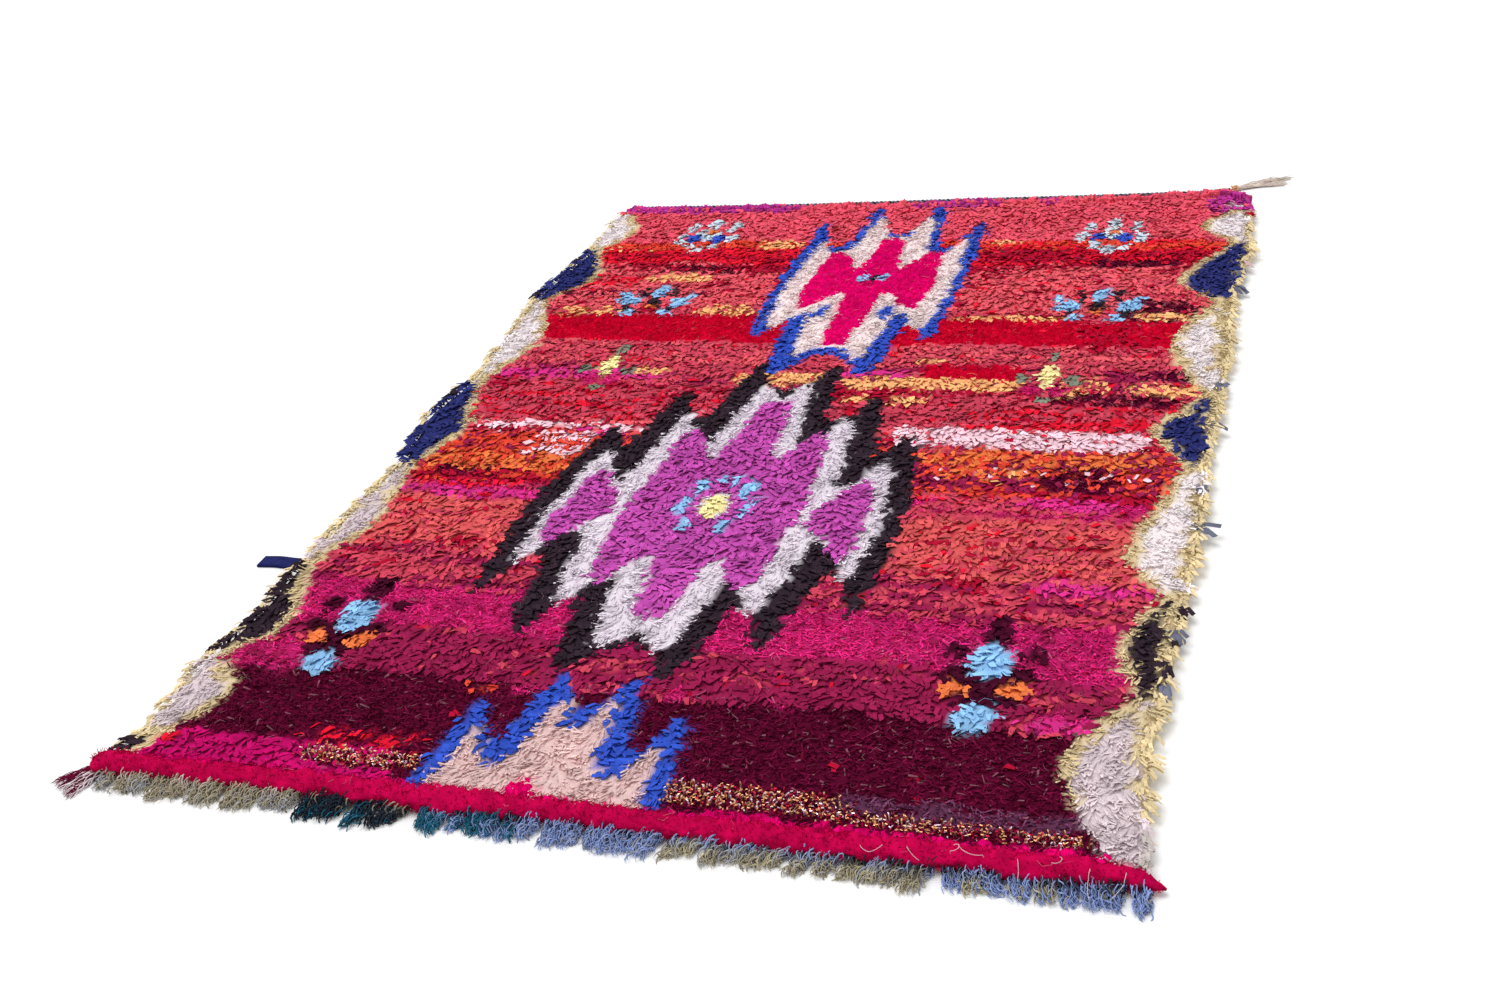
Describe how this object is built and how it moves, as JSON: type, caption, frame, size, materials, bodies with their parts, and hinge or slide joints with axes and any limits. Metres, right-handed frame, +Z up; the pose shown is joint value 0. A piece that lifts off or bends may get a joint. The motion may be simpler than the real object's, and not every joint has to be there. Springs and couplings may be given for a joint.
{
  "type": "boucherouite rug",
  "caption": "Hand-knotted shaggy rag rug lying flat, with serrated medallions on a striped ground, toothed side borders, a yarn fringe and a rope-bound far end.",
  "frame": {"origin": "on the underside, in the middle of the pile, where the rug rests on the floor", "axes": "+Z up out of the pile; +Y along the rug, from the fringed near end to the rope-bound far end; +X across it, to the right seen from the near end"},
  "size_m": [1.5946, 2.4619, 0.0293],
  "materials": {
    "rag_pile": "matte shaggy rag strips",
    "plush_pile": "soft dense fleece pile",
    "tinsel": "glittering metallic thread",
    "cotton_weave": "plain flat weave, matte",
    "yarn_khaki": "fuzzy crinkled yarn",
    "yarn_black": "fuzzy crinkled yarn",
    "yarn_teal": "fuzzy crinkled yarn",
    "yarn_denim": "fuzzy crinkled yarn",
    "yarn_olive": "fuzzy crinkled yarn",
    "yarn_sky": "fuzzy crinkled yarn",
    "rope_twist": "twisted matte yarn",
    "warp_peach": "knotted matte yarn",
    "warp_beige": "loose cotton ends",
    "warp_burgundy": "loose cotton ends",
    "rag_navy": "matte folded rag strip"
  },
  "bodies": {
    "root": {"rug_pile": "rag_pile", "fringe_khaki": "yarn_khaki", "fringe_black": "yarn_black", "fringe_teal": "yarn_teal", "fringe_denim": "yarn_denim", "fringe_olive": "yarn_olive", "fringe_sky": "yarn_sky", "edge_rope": "rope_twist", "corner_knot": "warp_peach", "far_tassel": "warp_beige", "warp_tassel": "warp_burgundy", "side_tab": "rag_navy"}
  },
  "joints": []
}
